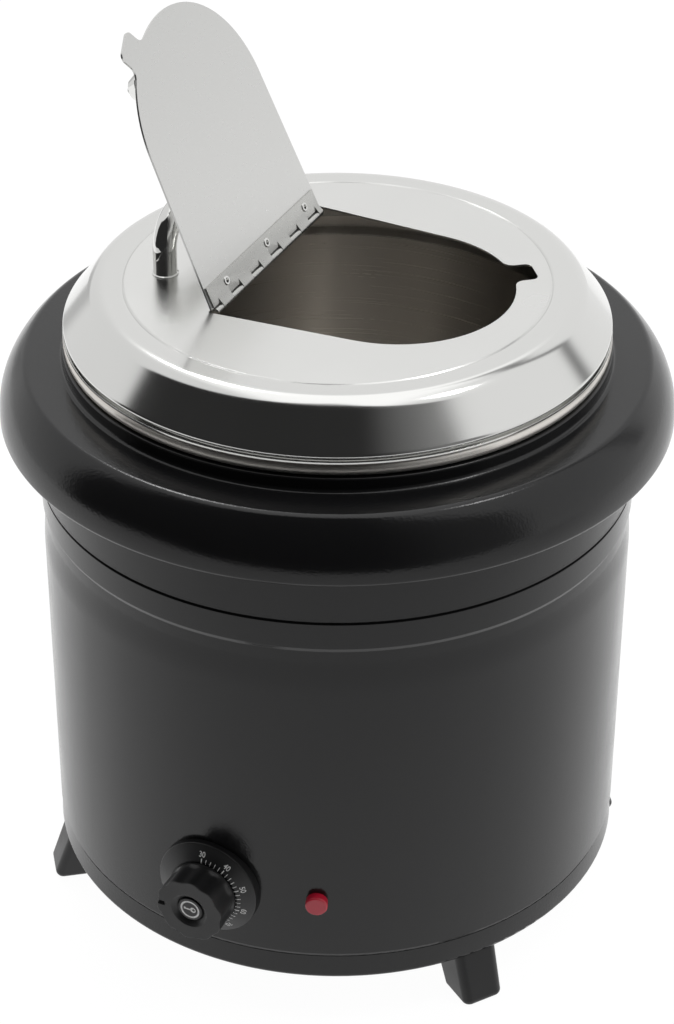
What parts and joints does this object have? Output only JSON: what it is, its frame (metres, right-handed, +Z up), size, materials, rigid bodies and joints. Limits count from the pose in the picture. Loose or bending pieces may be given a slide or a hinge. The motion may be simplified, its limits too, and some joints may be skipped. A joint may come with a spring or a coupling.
{
  "type": "electric soup kettle",
  "caption": "Round black soup kettle with water bath, lift-out steel pot, collar ring, splayed feet, dial knob and a steel lid with an arch handle and hinged serving flap.",
  "frame": {"origin": "on the table surface under the kettle's vertical axis", "axes": "+Z up; -Y towards the dial; +X the way the serving flap closes, with the hinge pin along Y"},
  "size_m": [0.3416, 0.352, 0.4777],
  "materials": {
    "black_powder_coat": "fine textured black powder coat on sheet steel",
    "stainless_polished": "mirror-polished stainless steel",
    "stainless_satin": "satin stainless steel",
    "zinc_plated_steel": "bright zinc plated steel",
    "black_plastic": "matt moulded thermoplastic",
    "pale_plastic": "moulded insulating plastic",
    "element_sheath": "heat-darkened steel sheath",
    "copper": "drawn copper tube",
    "red_lens": "clear red moulded lens"
  },
  "bodies": {
    "housing": {"outer_shell": "black_powder_coat", "base_pan": "black_powder_coat", "collar_ring": "black_powder_coat", "foot_front_right": "black_plastic", "foot_rear_right": "black_plastic", "foot_rear_left": "black_plastic", "foot_front_left": "black_plastic", "foot_screws": "zinc_plated_steel", "foot_nuts": "zinc_plated_steel", "base_screws": "zinc_plated_steel", "collar_screws": "zinc_plated_steel", "water_well": "stainless_satin", "heating_element": "element_sheath", "heater_clamp": "zinc_plated_steel", "clamp_nut": "zinc_plated_steel", "thermal_cutout": "pale_plastic", "thermostat_body": "pale_plastic", "thermostat_bracket": "zinc_plated_steel", "thermostat_screws": "zinc_plated_steel", "thermostat_bulb": "copper", "bulb_clip": "zinc_plated_steel", "dial_bezel": "black_plastic", "lamp_lens": "red_lens", "lamp_body": "pale_plastic", "lamp_nut": "zinc_plated_steel", "gland_body": "black_plastic", "gland_cap": "black_plastic", "gland_locknut": "black_plastic", "terminal_block": "pale_plastic", "block_screw": "zinc_plated_steel"},
    "knob": {"control_knob": "black_plastic", "knob_cap": "black_plastic", "thermostat_shaft": "zinc_plated_steel"},
    "pot": {"soup_pot": "stainless_satin"},
    "lid": {"lid_shell": "stainless_polished", "lid_rim": "stainless_polished", "lid_handle": "stainless_polished", "hinge_leaf_lid": "stainless_polished", "hinge_pin": "stainless_polished", "lid_rivets": "stainless_polished"},
    "flap": {"lid_flap": "stainless_polished", "hinge_leaf_flap": "stainless_polished", "flap_rivets": "stainless_polished", "flap_knob": "stainless_polished"}
  },
  "joints": [
    {"name": "knob_turn", "type": "hinge", "parent": "housing", "child": "knob", "pos_m": [0, -0.16, 0.08], "axis": [0, 1, 0], "range_deg": [0, 310]},
    {"name": "pot_lift", "type": "slide", "parent": "housing", "child": "pot", "axis": [0, 0, 1], "range_m": [0, 0.24]},
    {"name": "lid_lift", "type": "slide", "parent": "pot", "child": "lid", "axis": [0, 0, 1], "range_m": [0, 0.1]},
    {"name": "flap_hinge", "type": "hinge", "parent": "lid", "child": "flap", "pos_m": [-0.0391, 0.00354, 0.352], "axis": [0, 1, 0], "range_deg": [0, 113.2]}
  ]
}
